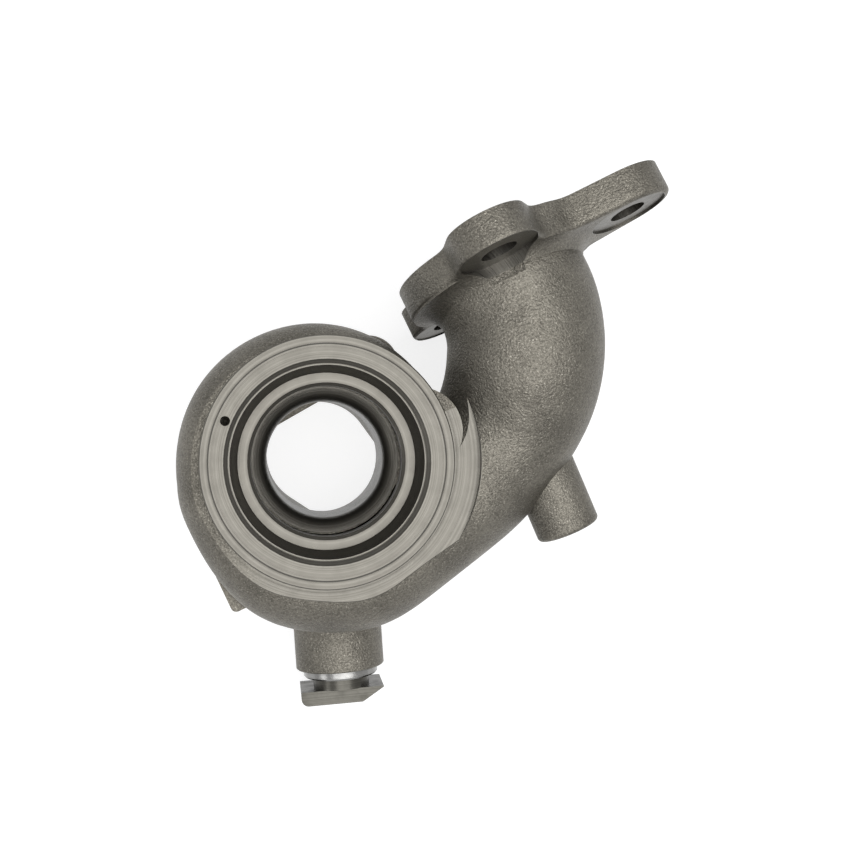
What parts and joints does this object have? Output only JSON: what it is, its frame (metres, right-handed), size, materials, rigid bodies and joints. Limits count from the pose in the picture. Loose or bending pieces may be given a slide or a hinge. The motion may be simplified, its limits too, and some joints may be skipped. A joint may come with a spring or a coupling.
{
  "type": "turbocharger turbine housing",
  "caption": "Cast turbine housing with a snail-shaped scroll, lobed inlet flange, clamp flange, outlet flange and an internal wastegate flap on a crank lever.",
  "frame": {"origin": "where the turbine axis meets the outlet flange's face", "axes": "+Z along the turbine axis, out of the bearing-side flange; the wastegate lever is at -Y and the inlet flange at +X +Y"},
  "size_m": [0.1244, 0.1445, 0.0828],
  "materials": {
    "cast_housing": "as-cast skin with turned faces",
    "bushing_steel": "ground",
    "spindle_steel": "ground and heat-tinted",
    "crank_steel": "machined",
    "valve_steel": "turned",
    "washer_steel": "plain"
  },
  "bodies": {
    "housing": {"turbine_housing": "cast_housing", "wastegate_bushing": "bushing_steel"},
    "wastegate": {"wastegate_spindle": "spindle_steel", "crank_lever": "crank_steel", "wastegate_valve": "valve_steel", "valve_washer": "washer_steel"}
  },
  "joints": [
    {"name": "wastegate_pivot", "type": "hinge", "parent": "housing", "child": "wastegate", "pos_m": [0.0056, -0.0585, 0.0155], "axis": [-0.0715, 0.9974, 0], "range_deg": [0, 28]}
  ]
}
